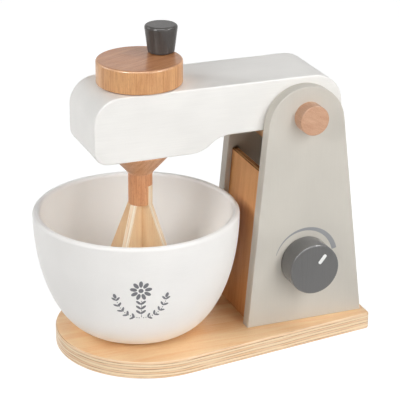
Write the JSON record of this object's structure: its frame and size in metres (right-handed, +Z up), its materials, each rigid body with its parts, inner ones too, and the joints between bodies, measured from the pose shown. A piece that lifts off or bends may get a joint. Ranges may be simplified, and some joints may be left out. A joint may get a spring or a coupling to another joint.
{
  "type": "wooden toy stand mixer",
  "caption": "Wooden toy stand mixer: teardrop plywood base, tapered side panels, tilting head with crank disc and beater, dial and loose bowl.",
  "frame": {"origin": "on the underside of the base, directly below the middle of the bowl", "axes": "+X from the bowl to the column, +Y away from the side with the dial, +Z up"},
  "size_m": [0.2214, 0.136, 0.2161],
  "materials": {
    "base_plywood": "clear-lacquered plywood with a layered edge",
    "thin_plywood": "clear-lacquered thin plywood",
    "blade_plywood": "clear-lacquered plywood blades",
    "beech": "clear-lacquered beech",
    "panel_paint": "matt warm grey paint",
    "head_paint": "satin white paint",
    "bowl_paint": "satin white paint on turned wood",
    "dark_paint": "satin dark grey paint",
    "screw_steel": "zinc-plated wood screws"
  },
  "bodies": {
    "stand": {"base_board": "base_plywood", "base_screws": "screw_steel", "side_panel_front": "panel_paint", "side_panel_back": "panel_paint", "column_front_board": "thin_plywood", "column_rear_board": "thin_plywood", "head_rest_rail": "beech", "axle_rod": "beech", "axle_cap_front": "beech", "axle_cap_back": "beech"},
    "head": {"head_arm": "head_paint"},
    "crank": {"crank_disc": "beech", "beater_spindle": "beech", "beater_collar": "beech", "beater_blade_long": "blade_plywood", "beater_blade_short": "blade_plywood"},
    "knob": {"crank_knob": "dark_paint", "crank_knob_screw": "screw_steel"},
    "dial": {"dial_knob": "dark_paint", "dial_screw": "screw_steel", "dial_washer": "screw_steel"},
    "bowl": {"mixing_bowl": "bowl_paint"}
  },
  "joints": [
    {"name": "head_tilt", "type": "hinge", "parent": "stand", "child": "head", "pos_m": [0.1063, 0, 0.1574], "axis": [0, 1, 0], "range_deg": [0, 60]},
    {"name": "crank_turn", "type": "hinge", "parent": "head", "child": "crank", "pos_m": [0.003, 0, 0.16], "axis": [0, 0, 1], "continuous": true},
    {"name": "knob_spin", "type": "hinge", "parent": "crank", "child": "knob", "pos_m": [0.02085, 0.00833, 0.2], "axis": [0, 0, 1], "continuous": true},
    {"name": "dial_turn", "type": "hinge", "parent": "stand", "child": "dial", "pos_m": [0.1063, -0.0353, 0.0557], "axis": [0, -1, 0], "continuous": true},
    {"name": "bowl_lift", "type": "slide", "parent": "stand", "child": "bowl", "axis": [0, 0, 1], "range_m": [0, 0.008]}
  ]
}
